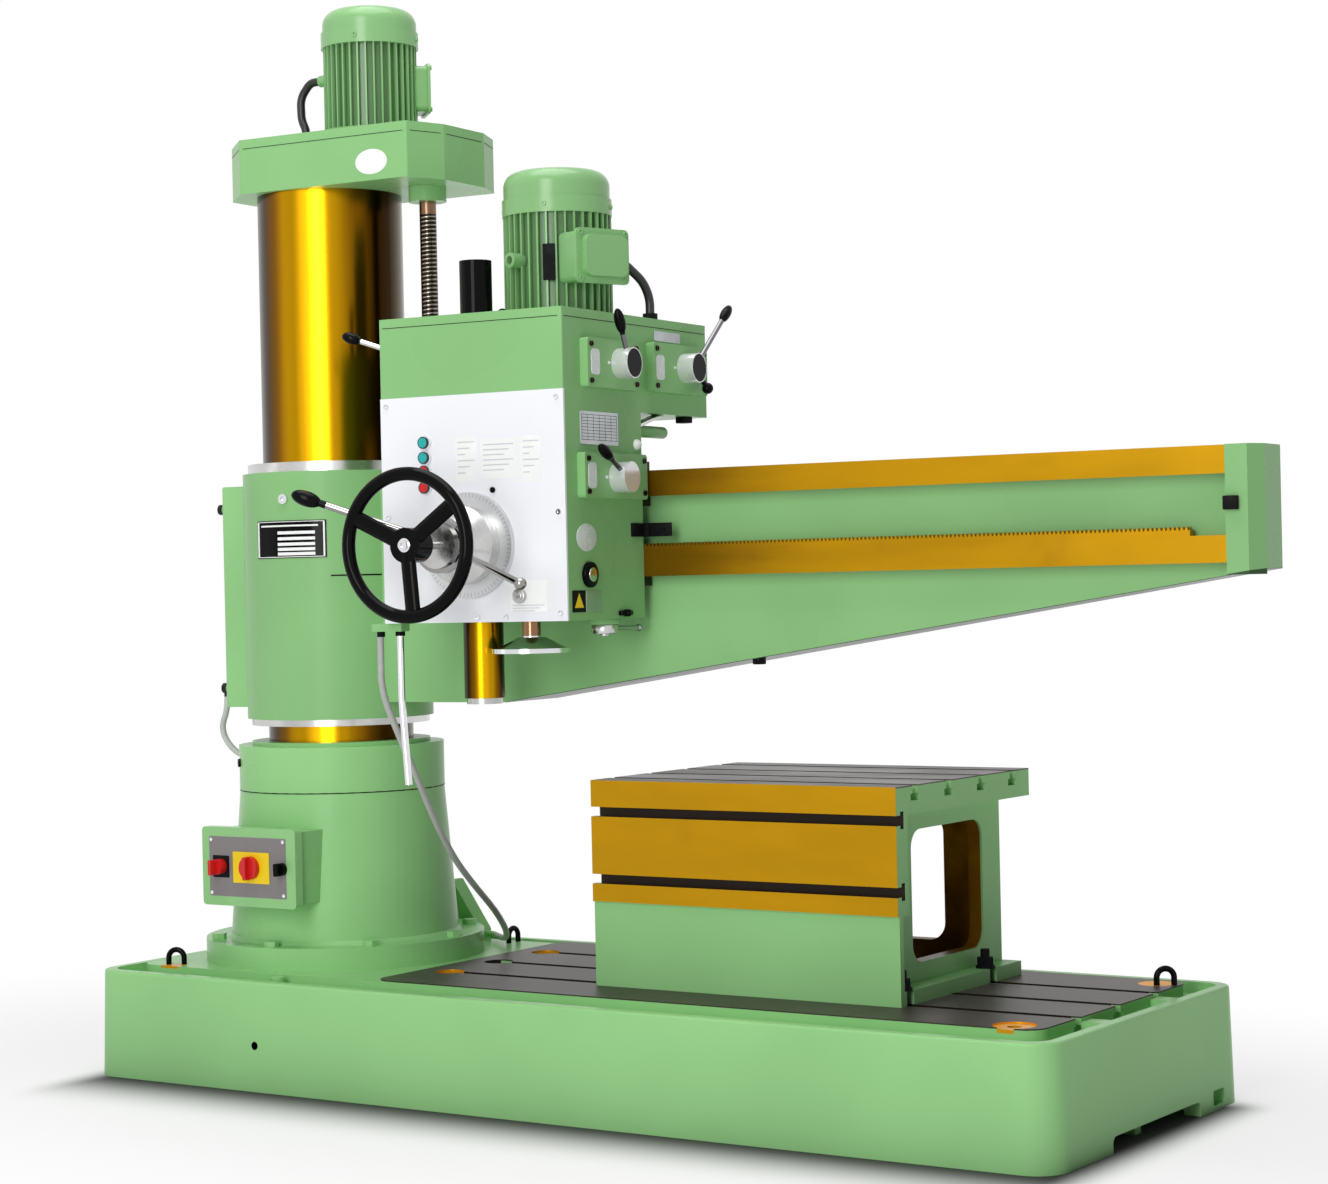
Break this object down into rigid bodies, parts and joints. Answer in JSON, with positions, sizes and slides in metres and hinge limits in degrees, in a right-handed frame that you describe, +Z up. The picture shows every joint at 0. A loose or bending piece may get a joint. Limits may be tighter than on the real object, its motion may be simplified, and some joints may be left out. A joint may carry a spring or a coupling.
{
  "type": "radial drilling machine",
  "caption": "Radial drilling machine: swivelling column, lifting arm, traversing head with fed spindle, and box table on a slotted base.",
  "frame": {"origin": "on the column's axis at the floor, on the base's underside", "axes": "+X along the base from the column to the working end, +Y to the back, +Z up"},
  "size_m": [2.764, 1.1562, 2.533],
  "materials": {
    "green_paint": "gloss enamel",
    "ochre_steel": "ground, oiled",
    "bright_steel": "machined",
    "dark_iron": "planed",
    "black_iron": "blackened",
    "chrome": "polished",
    "white_paint": "satin",
    "black_gloss": "gloss",
    "red_plastic": "gloss",
    "teal_plastic": "gloss",
    "black_rubber": "matte",
    "grey_hose": "satin",
    "pale_hose": "satin"
  },
  "bodies": {
    "base": {"base_casting": "green_paint", "column_seat": "green_paint", "seat_bolts": "green_paint", "inner_column": "bright_steel", "lifting_eyes": "black_iron", "box_table": "ochre_steel", "table_bolts": "black_iron", "control_box": "green_paint", "coolant_pump": "green_paint", "coolant_hose": "grey_hose"},
    "door": {"control_door": "green_paint"},
    "main_knob": {"main_switch": "red_plastic"},
    "pump_knob": {"pump_switch": "red_plastic"},
    "latch_knob": {"door_latch": "black_gloss"},
    "column": {"outer_column": "ochre_steel", "column_ring": "green_paint", "column_bearings": "bright_steel", "top_gearbox": "green_paint", "gearbox_lid": "green_paint", "lift_motor": "green_paint", "lift_motor_conduit": "black_rubber"},
    "screw": {"lift_screw": "bright_steel", "screw_gear": "bright_steel"},
    "lift_pinion": {"lift_motor_pinion": "bright_steel"},
    "arm": {"arm_casting": "green_paint", "arm_ways": "ochre_steel", "arm_rack": "ochre_steel", "sleeve_rings": "bright_steel", "lift_nut": "bright_steel", "tail_box": "green_paint", "sleeve_conduit": "pale_hose"},
    "head": {"head_casting": "green_paint", "head_lid": "green_paint", "front_panel": "white_paint", "drive_motor": "green_paint", "drive_motor_conduit": "black_rubber", "spindle_guard": "black_gloss", "head_gibs": "dark_iron", "shift_plates": "green_paint"},
    "quill_sleeve": {"quill": "ochre_steel", "quill_bearings": "bright_steel"},
    "spindle_shaft": {"spindle": "bright_steel"},
    "spindle_wheel": {"spindle_gear": "bright_steel"},
    "motor_pinion": {"drive_pinion": "bright_steel"},
    "capstan": {"feed_hub": "bright_steel", "feed_dial": "bright_steel", "feed_levers": "chrome"},
    "traverse_wheel": {"handwheel": "black_gloss", "traverse_shaft": "bright_steel"},
    "traverse_pinion": {"rack_pinion": "bright_steel"},
    "fine_feed": {"fine_feed_wheel": "chrome"},
    "speed_shift": {"speed_lever": "chrome"},
    "feed_shift": {"feed_lever": "chrome"},
    "reverse_shift": {"reverse_lever": "chrome"},
    "side_handle": {"side_lever": "chrome"},
    "coolant_spout": {"coolant_pipe": "chrome"},
    "push_first": {"button_first": "black_gloss"},
    "push_second": {"button_second": "teal_plastic"},
    "push_third": {"button_third": "black_gloss"},
    "push_fourth": {"button_fourth": "red_plastic"}
  },
  "joints": [
    {"name": "column_swivel", "type": "hinge", "parent": "base", "child": "column", "pos_m": [0, 0, 0], "axis": [0, 0, 1], "range_deg": [-180, 180], "deforming": ["coolant_hose"]},
    {"name": "arm_lift", "type": "slide", "parent": "column", "child": "arm", "axis": [0, 0, 1], "range_m": [-0.03, 0.56], "deforming": ["sleeve_conduit"]},
    {"name": "screw_turn", "type": "hinge", "parent": "column", "child": "screw", "pos_m": [0.28727, 0.02054, 2.1], "axis": [0, 0, 1], "continuous": true},
    {"name": "lift_pinion_turn", "type": "hinge", "parent": "column", "child": "lift_pinion", "pos_m": [0.12867, 0.0092, 2.15], "axis": [0, 0, 1], "continuous": true},
    {"name": "head_traverse", "type": "slide", "parent": "arm", "child": "head", "axis": [0.9975, 0.0713, 0], "range_m": [-0.09, 1.16]},
    {"name": "traverse_turn", "type": "hinge", "parent": "head", "child": "traverse_wheel", "pos_m": [0.746, -0.54819, 1.23], "axis": [-0.0713, 0.9975, 0], "continuous": true},
    {"name": "rack_pinion_turn", "type": "hinge", "parent": "head", "child": "traverse_pinion", "pos_m": [0.80111, -0.14323, 1.255], "axis": [-0.0713, 0.9975, 0], "continuous": true},
    {"name": "quill_feed", "type": "slide", "parent": "head", "child": "quill_sleeve", "axis": [0, 0, -1], "range_m": [0, 0.26]},
    {"name": "capstan_turn", "type": "hinge", "parent": "head", "child": "capstan", "pos_m": [0.74172, -0.48834, 1.23], "axis": [-0.0713, 0.9975, 0], "continuous": true},
    {"name": "spindle_turn", "type": "hinge", "parent": "quill_sleeve", "child": "spindle_shaft", "pos_m": [0.65991, -0.28365, 0.9], "axis": [0, 0, 1], "continuous": true},
    {"name": "spindle_wheel_turn", "type": "hinge", "parent": "head", "child": "spindle_wheel", "pos_m": [0.65991, -0.28365, 1.56], "axis": [0, 0, 1], "continuous": true},
    {"name": "motor_pinion_turn", "type": "hinge", "parent": "head", "child": "motor_pinion", "pos_m": [0.75895, -0.10703, 1.56], "axis": [0, 0, 1], "continuous": true},
    {"name": "fine_feed_turn", "type": "hinge", "parent": "head", "child": "fine_feed", "pos_m": [0.80768, -0.30317, 1], "axis": [0, 0, 1], "continuous": true},
    {"name": "speed_shift_turn", "type": "hinge", "parent": "head", "child": "speed_shift", "pos_m": [0.98714, -0.20512, 1.62], "axis": [0.9975, 0.0713, 0], "range_deg": [-25, 25]},
    {"name": "feed_shift_turn", "type": "hinge", "parent": "head", "child": "feed_shift", "pos_m": [0.96639, 0.08514, 1.625], "axis": [0.9975, 0.0713, 0], "range_deg": [-20, 50]},
    {"name": "reverse_shift_turn", "type": "hinge", "parent": "head", "child": "reverse_shift", "pos_m": [0.98857, -0.22506, 1.371], "axis": [0.9975, 0.0713, 0], "range_deg": [-57, 20]},
    {"name": "side_handle_turn", "type": "hinge", "parent": "head", "child": "side_handle", "pos_m": [0.50332, -0.36503, 1.668], "axis": [0.9975, 0.0713, 0], "range_deg": [-25, 25]},
    {"name": "spout_swivel", "type": "hinge", "parent": "head", "child": "coolant_spout", "pos_m": [0.52013, -0.40393, 1.06], "axis": [0, 0, 1], "range_deg": [-45, 45]},
    {"name": "door_swing", "type": "hinge", "parent": "base", "child": "door", "pos_m": [-0.164, -0.311, 0.494], "axis": [0, 0, -1], "range_deg": [0, 100]},
    {"name": "main_switch_turn", "type": "hinge", "parent": "door", "child": "main_knob", "pos_m": [-0.099, -0.33, 0.494], "axis": [0, 1, 0], "range_deg": [0, 90]},
    {"name": "pump_switch_turn", "type": "hinge", "parent": "door", "child": "pump_knob", "pos_m": [-0.003, -0.33, 0.494], "axis": [0, 1, 0], "range_deg": [0, 90]},
    {"name": "latch_turn", "type": "hinge", "parent": "door", "child": "latch_knob", "pos_m": [0.092, -0.33, 0.494], "axis": [0, 1, 0], "range_deg": [0, 90]},
    {"name": "press_first", "type": "slide", "parent": "head", "child": "push_first", "axis": [-0.0713, 0.9975, 0], "range_m": [0, 0.003], "stiffness_N_per_m": 400},
    {"name": "press_second", "type": "slide", "parent": "head", "child": "push_second", "axis": [-0.0713, 0.9975, 0], "range_m": [0, 0.003], "stiffness_N_per_m": 400},
    {"name": "press_third", "type": "slide", "parent": "head", "child": "push_third", "axis": [-0.0713, 0.9975, 0], "range_m": [0, 0.003], "stiffness_N_per_m": 400},
    {"name": "press_fourth", "type": "slide", "parent": "head", "child": "push_fourth", "axis": [-0.0713, 0.9975, 0], "range_m": [0, 0.003], "stiffness_N_per_m": 400}
  ],
  "couplings": [
    {"joint": "screw_turn", "follows": "arm_lift", "rad_per_m": -628.32},
    {"joint": "lift_pinion_turn", "follows": "arm_lift", "rad_per_m": 819.55},
    {"joint": "rack_pinion_turn", "follows": "head_traverse", "rad_per_m": 33.333},
    {"joint": "traverse_turn", "follows": "head_traverse", "rad_per_m": -33.333},
    {"joint": "capstan_turn", "follows": "quill_feed", "rad_per_m": -51.282},
    {"joint": "spindle_wheel_turn", "follows": "spindle_turn", "ratio": 1},
    {"joint": "motor_pinion_turn", "follows": "spindle_turn", "ratio": -1.4545}
  ]
}
